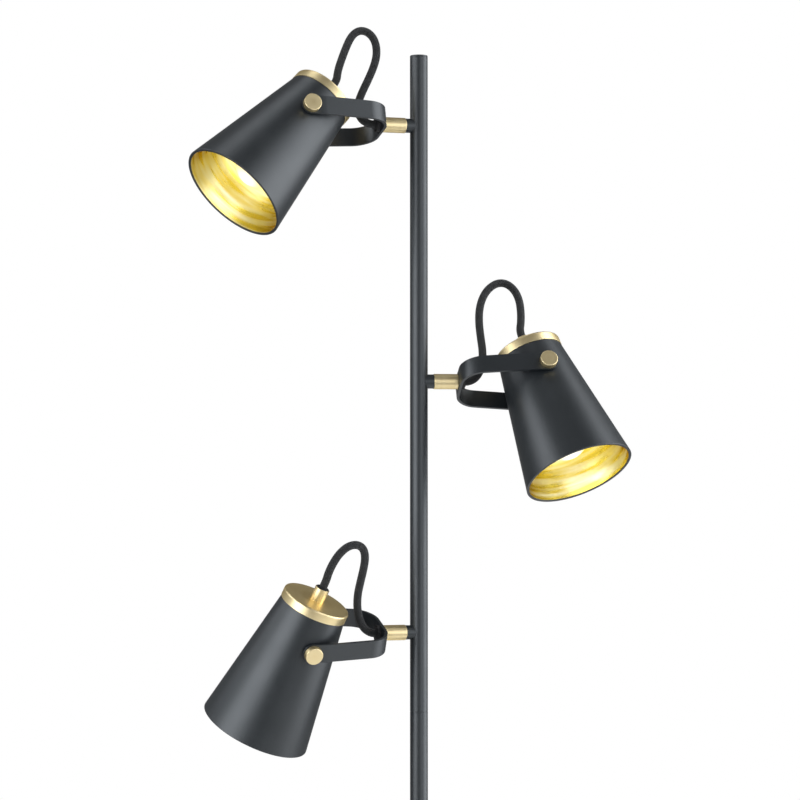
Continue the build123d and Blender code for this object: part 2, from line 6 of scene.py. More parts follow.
import bmesh
import bpy
from bl_math import smoothstep
from mathutils import Matrix, Vector, noise
from mathutils.kdtree import KDTree
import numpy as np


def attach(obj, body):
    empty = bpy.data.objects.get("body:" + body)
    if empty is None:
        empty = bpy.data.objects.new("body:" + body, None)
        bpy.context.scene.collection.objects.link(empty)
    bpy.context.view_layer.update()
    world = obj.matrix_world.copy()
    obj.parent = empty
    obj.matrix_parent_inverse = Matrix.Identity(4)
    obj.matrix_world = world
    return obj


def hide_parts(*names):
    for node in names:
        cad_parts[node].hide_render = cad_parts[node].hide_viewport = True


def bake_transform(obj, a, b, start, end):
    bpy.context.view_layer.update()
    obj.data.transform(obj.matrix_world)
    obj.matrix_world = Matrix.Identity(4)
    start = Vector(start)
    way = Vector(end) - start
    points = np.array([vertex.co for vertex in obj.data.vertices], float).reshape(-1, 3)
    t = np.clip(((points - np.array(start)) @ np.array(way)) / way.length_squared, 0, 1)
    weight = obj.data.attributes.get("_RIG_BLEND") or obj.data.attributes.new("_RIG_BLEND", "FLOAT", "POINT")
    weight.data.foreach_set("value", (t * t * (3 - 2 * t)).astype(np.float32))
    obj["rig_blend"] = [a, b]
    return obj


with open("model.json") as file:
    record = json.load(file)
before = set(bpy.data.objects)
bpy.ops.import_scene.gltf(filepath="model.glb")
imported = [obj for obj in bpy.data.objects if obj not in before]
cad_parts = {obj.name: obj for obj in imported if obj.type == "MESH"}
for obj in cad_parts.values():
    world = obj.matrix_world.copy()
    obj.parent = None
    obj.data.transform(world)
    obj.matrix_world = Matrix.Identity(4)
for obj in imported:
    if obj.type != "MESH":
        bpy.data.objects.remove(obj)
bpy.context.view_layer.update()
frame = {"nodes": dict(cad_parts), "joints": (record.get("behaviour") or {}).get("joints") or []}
nodes = frame["nodes"]


# Studio: a long lens level with the middle head looks a little upwards.
# Two soft boxes stand left of the lamp and a tall one right, a small one hangs over it and a dim
# one fills from the front. The room is dark but for a white backdrop and a pale floor that fades.
LENS = 123.2
SENSOR_WIDTH = 36
SIGHT_END = 50
CAMERA_PLACE = (-0.01701, -2.46447, 1.1139)
CAMERA_PITCH = radians(90 + 1.736)
SOFT_BOXES = [
    # name, place, aim, width, height, radiance
    ("left_box", (-1.22, -1.06, 1.15), (-0.10, 0, 1.15), 1.35, 1.20, 3.6),
    ("left_back_box", (-1.50, -0.05, 2.05), (0, 0, 1.25), 1.20, 0.85, 2.8),
    ("right_box", (1.60, 0.02, 1.75), (0, 0, 1.75), 1.55, 3.50, 3.0),
    ("top_box", (-0.30, 0.05, 2.75), (-0.10, 0, 1.40), 0.60, 0.60, 2.0),
    ("front_box", (1.70, -2.65, 1.30), (0, 0, 1.25), 1.90, 2.60, 1.55),
]
LIGHT_COLOUR = (0.96, 0.99, 1.03)
WHITE = (1, 1, 1, 1)
ROOM_DARK = 0.18
ROOM_FILL = 0.40
BACKDROP_EDGE = (0.955, 0.992)
FLOOR_RADIUS = 1.3
FLOOR_STEPS = 96
FLOOR_DROP = 0.0002
FLOOR_COLOUR = (0.86, 0.86, 0.85, 1)
FLOOR_ROUGH = 0.9
FLOOR_FADE = (0.3, 1.2)


def add(tree, kind, inputs=None, **settings):
    """A node with its settings, and its inputs set to values or joined to other nodes' outputs."""
    made = tree.nodes.new(kind)
    for setting, value in settings.items():
        setattr(made, setting, value)
    for key, value in (inputs or {}).items():
        if isinstance(value, bpy.types.NodeSocket):
            tree.links.new(value, made.inputs[key])
        else:
            made.inputs[key].default_value = value
    return made


def maths(tree, operation, *values):
    """The output of a Math node."""
    return add(tree, "ShaderNodeMath", dict(enumerate(values)), operation=operation).outputs[0]


def spread(tree, value, low, high, to_low, to_high, ease="LINEAR"):
    """A value moved from one span to another, held inside it."""
    return add(tree, "ShaderNodeMapRange", {
        "Value": value, "From Min": low, "From Max": high, "To Min": to_low, "To Max": to_high},
        interpolation_type=ease).outputs["Result"]


scene = bpy.context.scene
scene.view_settings.view_transform = "Standard"
lens = bpy.data.cameras.new("studio_camera")
lens.sensor_width = SENSOR_WIDTH
lens.lens = LENS
lens.clip_end = SIGHT_END
camera = bpy.data.objects.new("studio_camera", lens)
camera.location = CAMERA_PLACE
camera.rotation_euler = (CAMERA_PITCH, 0, 0)
scene.collection.objects.link(camera)
scene.camera = camera

for name, place, aim, width, height, radiance in SOFT_BOXES:
    box = bpy.data.lights.new(name, "AREA")
    box.shape = "RECTANGLE"
    box.size = width
    box.size_y = height
    box.energy = radiance * pi * width * height
    box.color = LIGHT_COLOUR
    lamp = bpy.data.objects.new(name, box)
    lamp.location = place
    lamp.rotation_euler = (Vector(aim) - Vector(place)).to_track_quat("-Z", "Y").to_euler()
    lamp.visible_camera = False
    scene.collection.objects.link(lamp)

room = bpy.data.worlds.new("studio_room")
room.use_nodes = True
scene.world = room
tree = room.node_tree
rays = add(tree, "ShaderNodeLightPath").outputs
ahead = add(tree, "ShaderNodeSeparateXYZ", {0: add(tree, "ShaderNodeTexCoord").outputs["Generated"]})
backdrop = spread(tree, ahead.outputs["Y"], *BACKDROP_EDGE, ROOM_DARK, 1.0, "SMOOTHSTEP")
backdrop = maths(tree, "MAXIMUM", backdrop, rays["Is Camera Ray"])
seen = maths(tree, "MAXIMUM", rays["Is Camera Ray"], rays["Is Glossy Ray"])
seen = maths(tree, "MAXIMUM", seen, rays["Is Transmission Ray"])
level = add(tree, "ShaderNodeMix", {"Factor": seen, "A": ROOM_FILL, "B": backdrop}).outputs["Result"]
tree.links.new(level, tree.nodes["Background"].inputs["Strength"])
tree.nodes["Background"].inputs["Color"].default_value = WHITE

ground = bmesh.new()
bmesh.ops.create_circle(ground, cap_ends=True, radius=FLOOR_RADIUS, segments=FLOOR_STEPS)
bmesh.ops.translate(ground, vec=(0, 0, -FLOOR_DROP), verts=ground.verts)
floor_mesh = bpy.data.meshes.new("studio_floor")
ground.to_mesh(floor_mesh)
floor = bpy.data.objects.new("studio_floor", floor_mesh)
scene.collection.objects.link(floor)
paper = bpy.data.materials.new("floor_paper")
paper.use_nodes = True
tree = paper.node_tree
shader = tree.nodes["Principled BSDF"]
shader.inputs["Base Color"].default_value = FLOOR_COLOUR
shader.inputs["Roughness"].default_value = FLOOR_ROUGH
away = add(tree, "ShaderNodeVectorMath", {0: add(tree, "ShaderNodeTexCoord").outputs["Object"]},
           operation="LENGTH").outputs["Value"]
fade = spread(tree, away, *FLOOR_FADE, 0.0, 1.0, "SMOOTHSTEP")
white = add(tree, "ShaderNodeEmission", {"Color": WHITE, "Strength": 1.0})
lit_side = add(tree, "ShaderNodeMixShader", {0: fade, 1: shader.outputs[0], 2: white.outputs[0]})
under_side = add(tree, "ShaderNodeNewGeometry").outputs["Backfacing"]
open_below = add(tree, "ShaderNodeMixShader", {
    0: under_side, 1: lit_side.outputs[0], 2: add(tree, "ShaderNodeBsdfTransparent").outputs[0]})
tree.links.new(open_below.outputs[0], tree.nodes["Material Output"].inputs["Surface"])
floor.data.materials.append(paper)


# Base cover: a deep-drawn steel disc with a rounded edge, powder coated black like the pole.
# The coat is matt with a fine orange peel, and hides a cast weight that holds the lamp upright.
MM = 0.001
TOUCHING = 0.001
BASE_R = 130.0
BASE_TOP = 18.0
COVER_UNDER = 2.0
COVER_WALL = 1.2
COVER_ROUND = 5.0
COVER_STEPS = 160
EDGE_EASE = 0.3
SHARP_EDGE = radians(34)
TUBE_R = 5.05
COAT_DARK = (0.0020, 0.0042, 0.0062, 1)
COAT_LIGHT = (0.0052, 0.0080, 0.0105, 1)
COAT_TINT = (0.94, 0.975, 1.0, 1)
COAT_SHINE = 0.9
COAT_ROUGH = (0.41, 0.45)
COAT_GRAIN = (1500.0, 0.07, 0.00012)  # grains in a metre, and the strength and depth of their relief
MOTTLE_GRAINS = 28.0
MOTTLE_SPAN = (0.3, 0.7)
MIX_FIRST, MIX_SECOND, MIX_RESULT = 6, 7, 2  # sockets of a Mix node that hold colours
UPRIGHT = Matrix.Rotation(radians(-90), 4, "Y")


def new_group(name, inputs, outputs):
    """A node group with named value sockets and a Vector to lay its pattern on."""
    group = bpy.data.node_groups.new(name, "ShaderNodeTree")
    group.interface.new_socket("Vector", in_out="INPUT", socket_type="NodeSocketVector")
    for socket in inputs:
        group.interface.new_socket(socket, in_out="INPUT", socket_type="NodeSocketFloat")
    for socket in outputs:
        group.interface.new_socket(socket, in_out="OUTPUT", socket_type="NodeSocketFloat")
    return group, add(group, "NodeGroupInput").outputs, add(group, "NodeGroupOutput").inputs


# Fine grain of coats, rubber and castings: peaks for the bump, and a wide mottle for the colour
grain, given, puts = new_group("fine_grain", ["Scale"], ["Height", "Mottle"])
fine = add(grain, "ShaderNodeTexNoise", {
    "Vector": given["Vector"], "Scale": given["Scale"], "Detail": 2.0})
wider = maths(grain, "DIVIDE", given["Scale"], MOTTLE_GRAINS)
wide = add(grain, "ShaderNodeTexNoise", {"Vector": given["Vector"], "Scale": wider, "Detail": 3.0})
grain.links.new(fine.outputs[0], puts["Height"])
grain.links.new(wide.outputs[0], puts["Mottle"])


def new_finish(name, metallic=0.0):
    """A new material, with its node tree and its shader."""
    material = bpy.data.materials.new(name)
    material.use_nodes = True
    tree = material.node_tree
    shader = tree.nodes["Principled BSDF"]
    shader.inputs["Metallic"].default_value = metallic
    return material, tree, shader


def own_place(tree):
    """The coordinates of the piece that a material is on."""
    return add(tree, "ShaderNodeTexCoord").outputs["Object"]


def two_tone(tree, factor, first, second):
    """A colour between two, by a mask."""
    made = add(tree, "ShaderNodeMix", data_type="RGBA")
    tree.links.new(factor, made.inputs["Factor"])
    made.inputs[MIX_FIRST].default_value = first
    made.inputs[MIX_SECOND].default_value = second
    return made.outputs[MIX_RESULT]


def bump(tree, shader, height, strength, distance):
    """Relief on a shader's normal."""
    made = add(tree, "ShaderNodeBump", {"Height": height, "Strength": strength, "Distance": distance})
    tree.links.new(made.outputs["Normal"], shader.inputs["Normal"])


def grained(name, dark, light, rough, scale, strength, distance):
    """A finish with fine grain: two near colours, a span of roughness and a small relief."""
    material, tree, shader = new_finish(name)
    made = add(tree, "ShaderNodeGroup", node_tree=grain)
    tree.links.new(own_place(tree), made.inputs["Vector"])
    made.inputs["Scale"].default_value = scale
    mottle = made.outputs["Mottle"]
    tree.links.new(two_tone(tree, mottle, dark, light), shader.inputs["Base Color"])
    tree.links.new(spread(tree, mottle, *MOTTLE_SPAN, *rough), shader.inputs["Roughness"])
    bump(tree, shader, made.outputs["Height"], strength, distance)
    return material, shader


powder_coat, shader = grained("powder_coat", COAT_DARK, COAT_LIGHT, COAT_ROUGH, *COAT_GRAIN)
shader.inputs["Specular IOR Level"].default_value = COAT_SHINE
shader.inputs["Specular Tint"].default_value = COAT_TINT


def outline(corners, closed=True, roundings=()):
    """A profile of a turned piece, corners as (along, radius) in millimetres.
    Some are rounded, each given by its number, the size of the rounding and its segments."""
    bm = bmesh.new()
    points = [bm.verts.new((along, 0, radius)) for along, radius in corners]
    pairs = list(zip(points, points[1:]))
    if closed:
        pairs.append((points[-1], points[0]))
    for pair in pairs:
        bm.edges.new(pair)
    for index, size, segments in roundings:
        bmesh.ops.bevel(bm, geom=[points[index]], offset=size, segments=segments, profile=0.5,
                        affect="VERTICES", material=-1)
    return bm


def turned(bm, steps):
    """Spins a profile about its x axis into a closed skin that faces outwards."""
    bmesh.ops.spin(bm, geom=bm.verts[:] + bm.edges[:], cent=(0, 0, 0), axis=(1, 0, 0), dvec=(0, 0, 0),
                   angle=2 * pi, steps=steps, use_merge=True)
    bmesh.ops.remove_doubles(bm, verts=bm.verts, dist=TOUCHING)
    bmesh.ops.recalc_face_normals(bm, faces=bm.faces)
    return bm


def fitted(name, bm, place, materials, body, stands_for):
    """Puts a mesh made in millimetres in its place, on its body, and hides the solids it stands for."""
    bmesh.ops.transform(bm, matrix=place @ Matrix.Scale(MM, 4), verts=bm.verts)
    for face in bm.faces:
        face.smooth = True
    mesh = bpy.data.meshes.new(name)
    bm.to_mesh(mesh)
    bm.free()
    mesh.set_sharp_from_angle(angle=SHARP_EDGE)
    for material in materials:
        mesh.materials.append(material)
    piece = bpy.data.objects.new(name, mesh)
    scene.collection.objects.link(piece)
    evened = piece.modifiers.new("even_normals", "WEIGHTED_NORMAL")
    evened.keep_sharp = True
    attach(piece, body)
    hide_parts(*stands_for)
    return piece


def dressed(node, material):
    """Gives a solid that keeps its shape its finish."""
    nodes[node].data.materials.clear()
    nodes[node].data.materials.append(material)


cover = outline([
    (COVER_UNDER, BASE_R - COVER_WALL), (COVER_UNDER, BASE_R), (BASE_TOP, BASE_R), (BASE_TOP, TUBE_R),
    (BASE_TOP - COVER_WALL, TUBE_R), (BASE_TOP - COVER_WALL, BASE_R - COVER_WALL)],
    roundings=[(5, COVER_ROUND - COVER_WALL, 8), (2, COVER_ROUND, 10), (1, EDGE_EASE, 2)])
fitted("base_shell", turned(cover, COVER_STEPS), UPRIGHT, [powder_coat], "stand", ["base_cover"])


# Under the base: a raw cast iron weight, a thin black foam pad that saves the floor, and a rubber
# bush at the back where the lead goes in. A white terminal block sits in the weight's recess.
PAD_R = 125.0
PAD_T = 2.0
PAD_EASE = 0.4
PAD_STEPS = 128
IRON_DARK = (0.035, 0.036, 0.038, 1)
IRON_LIGHT = (0.075, 0.074, 0.072, 1)
IRON_ROUGH = (0.55, 0.75)
IRON_GRAIN = (420.0, 0.5, 0.0006)
FOAM_DARK = (0.010, 0.010, 0.011, 1)
FOAM_LIGHT = (0.022, 0.022, 0.023, 1)
FOAM_ROUGH = (0.85, 0.95)
FOAM_GRAIN = (1300.0, 0.6, 0.0005)
RUBBER_DARK = (0.008, 0.008, 0.009, 1)
RUBBER_LIGHT = (0.014, 0.014, 0.015, 1)
RUBBER_ROUGH = (0.55, 0.68)
RUBBER_GRAIN = (1100.0, 0.25, 0.0002)
BLOCK_WHITE = (0.70, 0.70, 0.67, 1)
BLOCK_CREAM = (0.76, 0.75, 0.70, 1)
BLOCK_ROUGH = (0.40, 0.50)
BLOCK_GRAIN = (900.0, 0.15, 0.0001)

cast_iron = grained("cast_iron", IRON_DARK, IRON_LIGHT, IRON_ROUGH, *IRON_GRAIN)[0]
pad_foam = grained("pad_foam", FOAM_DARK, FOAM_LIGHT, FOAM_ROUGH, *FOAM_GRAIN)[0]
soft_rubber = grained("soft_rubber", RUBBER_DARK, RUBBER_LIGHT, RUBBER_ROUGH, *RUBBER_GRAIN)[0]
block_plastic = grained("block_plastic", BLOCK_WHITE, BLOCK_CREAM, BLOCK_ROUGH, *BLOCK_GRAIN)[0]
dressed("base_weight", cast_iron)
dressed("cord_bush", soft_rubber)
dressed("terminal_block", block_plastic)
pad = outline([(0, 0), (0, PAD_R), (PAD_T, PAD_R), (PAD_T, 0)], closed=False,
              roundings=[(1, PAD_EASE, 3)])
fitted("floor_pad", turned(pad, PAD_STEPS), UPRIGHT, [pad_foam], "stand", ["base_pad"])


# Hidden ironwork: zinc plated threaded tubes, nuts and washers that tie the base and the pole.
# The turned marks run round each tube, as a die or a lathe leaves them.
ZINC_DARK = (0.42, 0.42, 0.43, 1)
ZINC_LIGHT = (0.62, 0.62, 0.62, 1)
ZINC_ROUGH = (0.30, 0.42)
ZINC_MARKS = 1400.0
ZINC_RELIEF = 0.2
MARK_DEPTH = 0.00005
MARK_SWIRL = 9.0
BAND_SCALE = 0.16
STREAK_SPAN = (0.25, 0.75)

# Turned marks round the x axis: a fine relief of rings, and wider streaks for colour and gloss
rings, given, puts = new_group("turned_marks", ["Density"], ["Height", "Streak"])
axes = add(rings, "ShaderNodeSeparateXYZ", {0: given["Vector"]}).outputs
across = add(rings, "ShaderNodeCombineXYZ", {"X": axes["Y"], "Y": axes["Z"]}).outputs[0]
reach = add(rings, "ShaderNodeVectorMath", {0: across}, operation="LENGTH").outputs["Value"]
swirl = add(rings, "ShaderNodeVectorMath", {0: across, 1: (MARK_SWIRL, MARK_SWIRL, 0)},
            operation="MULTIPLY").outputs[0]
swirl = add(rings, "ShaderNodeSeparateXYZ", {0: swirl}).outputs
along = maths(rings, "MULTIPLY", axes["X"], given["Density"])
radial = maths(rings, "MULTIPLY", reach, given["Density"])
lathe = add(rings, "ShaderNodeCombineXYZ", {
    "X": maths(rings, "ADD", along, swirl["X"]),
    "Y": maths(rings, "ADD", radial, swirl["Y"])}).outputs[0]
marks = add(rings, "ShaderNodeTexNoise", {"Vector": lathe, "Scale": 1.0, "Detail": 3.0})
bands = add(rings, "ShaderNodeTexNoise", {"Vector": lathe, "Scale": BAND_SCALE, "Detail": 2.0})
rings.links.new(marks.outputs[0], puts["Height"])
rings.links.new(bands.outputs[0], puts["Streak"])


def laid(tree, place):
    """The coordinates of the piece, turned and moved to its place, so that x runs along its axis."""
    return add(tree, "ShaderNodeMapping", {
        "Vector": own_place(tree), "Location": place.to_translation(), "Rotation": place.to_euler()},
        vector_type="TEXTURE").outputs[0]


def turned_metal(name, place, dark, light, rough, density, strength):
    """A bare metal with turned marks round the x axis of its place.
    Seen edge on, it keeps its light tone."""
    material, tree, shader = new_finish(name, metallic=1.0)
    shader.inputs["Specular Tint"].default_value = light
    made = add(tree, "ShaderNodeGroup", node_tree=rings)
    tree.links.new(laid(tree, place), made.inputs["Vector"])
    made.inputs["Density"].default_value = density
    streak = made.outputs["Streak"]
    tree.links.new(two_tone(tree, streak, dark, light), shader.inputs["Base Color"])
    tree.links.new(spread(tree, streak, *STREAK_SPAN, *rough), shader.inputs["Roughness"])
    bump(tree, shader, made.outputs["Height"], strength, MARK_DEPTH)
    return material


zinc = turned_metal("zinc_plate", UPRIGHT, ZINC_DARK, ZINC_LIGHT, ZINC_ROUGH, ZINC_MARKS, ZINC_RELIEF)
for node in ("pole_nipple", "pole_washer", "pole_nut", "pole_foot", "pole_joiner"):
    dressed(node, zinc)


# Pole: two lengths of 16 mm steel tube that meet at a fine seam under the bottom head, with a
# pressed cap in the open top. All three have the same black powder coat as the base.
POLE_R = 8.0
POLE_BORE = 6.8
POLE_EASE = 0.35
SEAM = 909.0
POLE_TOP = 1498.4
POLE_STEPS = 64
CAP_PLUG = 8.0
CAP_PLAY = 0.05
LAMP_TOP = 1500.0
CAP_EASE = 0.7

for name, low, high in (("pole_lower", BASE_TOP, SEAM), ("pole_upper", SEAM, POLE_TOP)):
    tube = outline([(low, POLE_BORE), (low, POLE_R), (high, POLE_R), (high, POLE_BORE)],
                   roundings=[(1, POLE_EASE, 2), (2, POLE_EASE, 2)])
    fitted(name + "_tube", turned(tube, POLE_STEPS), UPRIGHT, [powder_coat], "stand", [name])
lid = outline([
    (POLE_TOP - CAP_PLUG, 0), (POLE_TOP - CAP_PLUG, POLE_BORE - CAP_PLAY),
    (POLE_TOP, POLE_BORE - CAP_PLAY), (POLE_TOP, POLE_R), (LAMP_TOP, POLE_R), (LAMP_TOP, 0)],
    closed=False, roundings=[(4, CAP_EASE, 4)])
fitted("pole_lid", turned(lid, POLE_STEPS), UPRIGHT, [powder_coat], "stand", ["pole_cap"])


# Arms: a black stub welded to the pole and a satin brass sleeve, both on a blackened threaded tube.
# The tube clamps the yoke with a thin nut, and the cord comes out of its end.
LEAST_TILT = 30.0  # degrees below straight out, at the first end of a tilt joint's range
SLEEVE = (13.4, 35.5)
SLEEVE_R = 6.9
SLEEVE_EASE = 0.5
SLEEVE_STEPS = 64
BRASS_DARK = (0.84, 0.67, 0.35, 1)
BRASS_LIGHT = (0.92, 0.78, 0.48, 1)
BRASS_ROUGH = (0.36, 0.42)
BRASS_MARKS = 1500.0
BRASS_RELIEF = 0.03
BLACKENED_DARK = (0.006, 0.006, 0.007, 1)
BLACKENED_LIGHT = (0.013, 0.013, 0.014, 1)
BLACKENED_ROUGH = (0.52, 0.62)
BLACKENED_GRAIN = (900.0, 0.15, 0.0001)
HEADS = ("top", "middle", "bottom")

joints = {joint["name"]: joint for joint in frame["joints"]}
arm_places = {}
yoke_places = {}
shade_places = {}
for head in HEADS:
    swivel = joints[head + "_swivel"]
    tilt = joints[head + "_tilt"]
    out = Vector(swivel["axis"])
    across = Vector(tilt["axis"])
    up = Vector((0, 0, 1))
    stand_point = Matrix.Translation(swivel["pos_m"])
    pivot_point = Matrix.Translation(tilt["pos_m"])
    turned_yoke = Matrix((out, across, out.cross(across))).transposed().to_4x4()
    arm_places[head] = stand_point @ Matrix((out, up.cross(out), up)).transposed().to_4x4()
    yoke_places[head] = stand_point @ turned_yoke
    nod = Matrix.Rotation(radians(LEAST_TILT - tilt["range_deg"][0]), 4, "Y")
    shade_places[head] = pivot_point @ turned_yoke @ nod


def satin_brass(name, place, rough=BRASS_ROUGH):
    """The lamp's brass, turned about the x axis of its place."""
    return turned_metal(name, place, BRASS_DARK, BRASS_LIGHT, rough, BRASS_MARKS, BRASS_RELIEF)


for head in HEADS:
    brass = satin_brass(head + "_arm_brass", arm_places[head])
    begin, end = SLEEVE
    sleeve = outline([(begin, TUBE_R), (begin, SLEEVE_R), (end, SLEEVE_R), (end, TUBE_R)],
                     roundings=[(1, SLEEVE_EASE, 3), (2, SLEEVE_EASE, 3)])
    fitted(head + "_sleeve", turned(sleeve, SLEEVE_STEPS), arm_places[head], [brass], "stand",
           [head + "_arm_collar"])
    dressed(head + "_arm_stub", powder_coat)
blackened = grained("blackened_steel", BLACKENED_DARK, BLACKENED_LIGHT, BLACKENED_ROUGH,
                    *BLACKENED_GRAIN)[0]
dressed("arm_nipples", blackened)
dressed("yoke_nuts", blackened)


# Yokes: flat steel strip bent to a U, its legs a little splayed and its ears cut round about the
# pivots. Edges are eased and the whole strip is powder coated black.
STRIP_W = 16.8
STRIP_T = 2.5
YOKE_BACK = 35.6
YOKE_BACK_W = 59.0
PIVOT_X = 111.9
EAR_STRAIGHT = 12.0
EAR_Y = 37.583
EAR_BEND = 40.0
BACK_BEND = 21.0
EAR_CUTS = 14
BEND_CUTS = 14
STRIP_EASE = 0.35
STRIP_EDGE = radians(50)

for head in HEADS:
    ear = STRIP_W / 2
    leg = [(PIVOT_X + ear * sin(radians(90 * step / EAR_CUTS)), EAR_Y)
           for step in range(EAR_CUTS, -1, -1)]
    leg += [(PIVOT_X - EAR_STRAIGHT, EAR_Y), (YOKE_BACK + STRIP_T / 2, YOKE_BACK_W / 2)]
    line = leg + [(x, -y) for x, y in reversed(leg)]
    strip = bmesh.new()
    points = [strip.verts.new((x, y, -ear)) for x, y in line]
    for pair in zip(points, points[1:]):
        strip.edges.new(pair)
    bends = [(EAR_CUTS + 1, EAR_BEND), (EAR_CUTS + 2, BACK_BEND),
             (EAR_CUTS + 3, BACK_BEND), (EAR_CUTS + 4, EAR_BEND)]
    bends = [(points[index], points[index - 1].co.copy(), points[index + 1].co.copy(), size)
             for index, size in bends]
    for corner, before, after, size in bends:
        half_turn = (corner.co - before).angle(after - corner.co) / 2
        bmesh.ops.bevel(strip, geom=[corner], offset=size * tan(half_turn), segments=BEND_CUTS,
                        profile=0.5, affect="VERTICES", material=-1)
    raised = [part for part in bmesh.ops.extrude_edge_only(strip, edges=strip.edges[:])["geom"]
              if isinstance(part, bmesh.types.BMVert)]
    bmesh.ops.translate(strip, vec=(0, 0, STRIP_W), verts=raised)
    for point in strip.verts:
        past = max(0.0, point.co.x - PIVOT_X) / ear
        point.co.z *= sqrt(max(0.0, 1 - past * past))
    bmesh.ops.remove_doubles(strip, verts=strip.verts, dist=TOUCHING)
    bmesh.ops.recalc_face_normals(strip, faces=strip.faces)
    yoke = fitted(head + "_bracket", strip, yoke_places[head], [powder_coat], head + "_yoke_set",
                  [head + "_yoke"])
    yoke.modifiers.clear()
    thick = yoke.modifiers.new("strip_thickness", "SOLIDIFY")
    thick.thickness = STRIP_T * MM
    thick.offset = 0
    thick.use_even_offset = True
    eased = yoke.modifiers.new("eased_edges", "BEVEL")
    eased.width = STRIP_EASE * MM
    eased.segments = 2
    eased.limit_method = "ANGLE"
    eased.angle_limit = STRIP_EDGE
    evened = yoke.modifiers.new("even_normals", "WEIGHTED_NORMAL")
    evened.keep_sharp = True


# Shades: spun steel cones with a closed top and a lip turned in at the mouth, black outside.
# The inside is lined with gold leaf, whose ripples run round the cone and scatter the light.
SHADE_TOP = -27.0
SHADE_TOP_R = 30.3
SHADE_MOUTH = 96.8
SHADE_MOUTH_R = 50.0
SHADE_WALL = 1.0125
SHADE_TOP_T = 1.2
LIP = 2.6
LIP_T = 1.0
LIP_EASE = 0.35
MOUTH_EASE = 0.6
SHADE_TOP_EASE = 0.4
SHADE_STEPS = 144
LINING_CUTS = 84
LINING_LEAST = 50
LINING_MARGIN = 1
ON_WALL = 0.02
RIPPLE = 0.28
RIPPLES = [
    # share of the swell, length of a ripple, how much it changes round the cone, shift
    (1.0, 5.0, 1.2, 0), (0.4, 2.6, 2.2, 7)]
RIPPLE_FADE = 8
LEAF_WAVES = 260.0
LEAF_WANDER = 1.3
LEAF_TONE_SCALE = 0.8
LEAF_TONE_SPAN = (0.35, 0.65)
LEAF_ROUGH_SPAN = (0.3, 0.7)
LEAF_ROUGH = (0.22, 0.40)
LEAF_RELIEF = (0.5, 0.0004)
GOLD_DARK = (0.81, 0.68, 0.14, 1)
GOLD_LIGHT = (0.93, 0.90, 0.68, 1)
GOLD_EDGE = (0.88, 0.60, 0.0, 1)


def shade_radius(along):
    """Outside radius of a shade, at a distance from its pivots towards its mouth."""
    growth = SHADE_MOUTH_R - SHADE_TOP_R
    return SHADE_TOP_R + growth * (along - SHADE_TOP) / (SHADE_MOUTH - SHADE_TOP)


# Ripples of the leaf, round the x axis of the shade: long irregular waves for colour and gloss
leaf, given, puts = new_group("leaf_ripples", ["Waves", "Wander"], ["Height", "Streak"])
axes = add(leaf, "ShaderNodeSeparateXYZ", {0: given["Vector"]}).outputs
across = add(leaf, "ShaderNodeCombineXYZ", {"Y": axes["Y"], "Z": axes["Z"]}).outputs[0]
facing = add(leaf, "ShaderNodeVectorMath", {0: across}, operation="NORMALIZE").outputs[0]
facing = add(leaf, "ShaderNodeVectorMath", {0: facing, "Scale": given["Wander"]},
             operation="SCALE").outputs[0]
depth = maths(leaf, "MULTIPLY", axes["X"], given["Waves"])
depth = add(leaf, "ShaderNodeCombineXYZ", {"X": depth}).outputs[0]
wave = add(leaf, "ShaderNodeVectorMath", {0: facing, 1: depth}, operation="ADD").outputs[0]
waves = add(leaf, "ShaderNodeTexNoise", {
    "Vector": wave, "Scale": 1.0, "Detail": 1.0, "Roughness": 0.45})
tones = add(leaf, "ShaderNodeTexNoise", {
    "Vector": wave, "Scale": LEAF_TONE_SCALE, "Detail": 1.0, "Roughness": 0.5})
leaf.links.new(waves.outputs[0], puts["Height"])
leaf.links.new(tones.outputs[0], puts["Streak"])


def gold_leaf(name, place):
    """Gold lining of a shade, laid round the shade's own axis."""
    material, tree, shader = new_finish(name, metallic=1.0)
    made = add(tree, "ShaderNodeGroup", node_tree=leaf)
    tree.links.new(laid(tree, place), made.inputs["Vector"])
    made.inputs["Waves"].default_value = LEAF_WAVES
    made.inputs["Wander"].default_value = LEAF_WANDER
    streak = made.outputs["Streak"]
    tone = spread(tree, streak, *LEAF_TONE_SPAN, 0, 1)
    tree.links.new(two_tone(tree, tone, GOLD_DARK, GOLD_LIGHT), shader.inputs["Base Color"])
    tree.links.new(spread(tree, streak, *LEAF_ROUGH_SPAN, *LEAF_ROUGH), shader.inputs["Roughness"])
    shader.inputs["Specular Tint"].default_value = GOLD_EDGE
    bump(tree, shader, made.outputs["Height"], *LEAF_RELIEF)
    return material


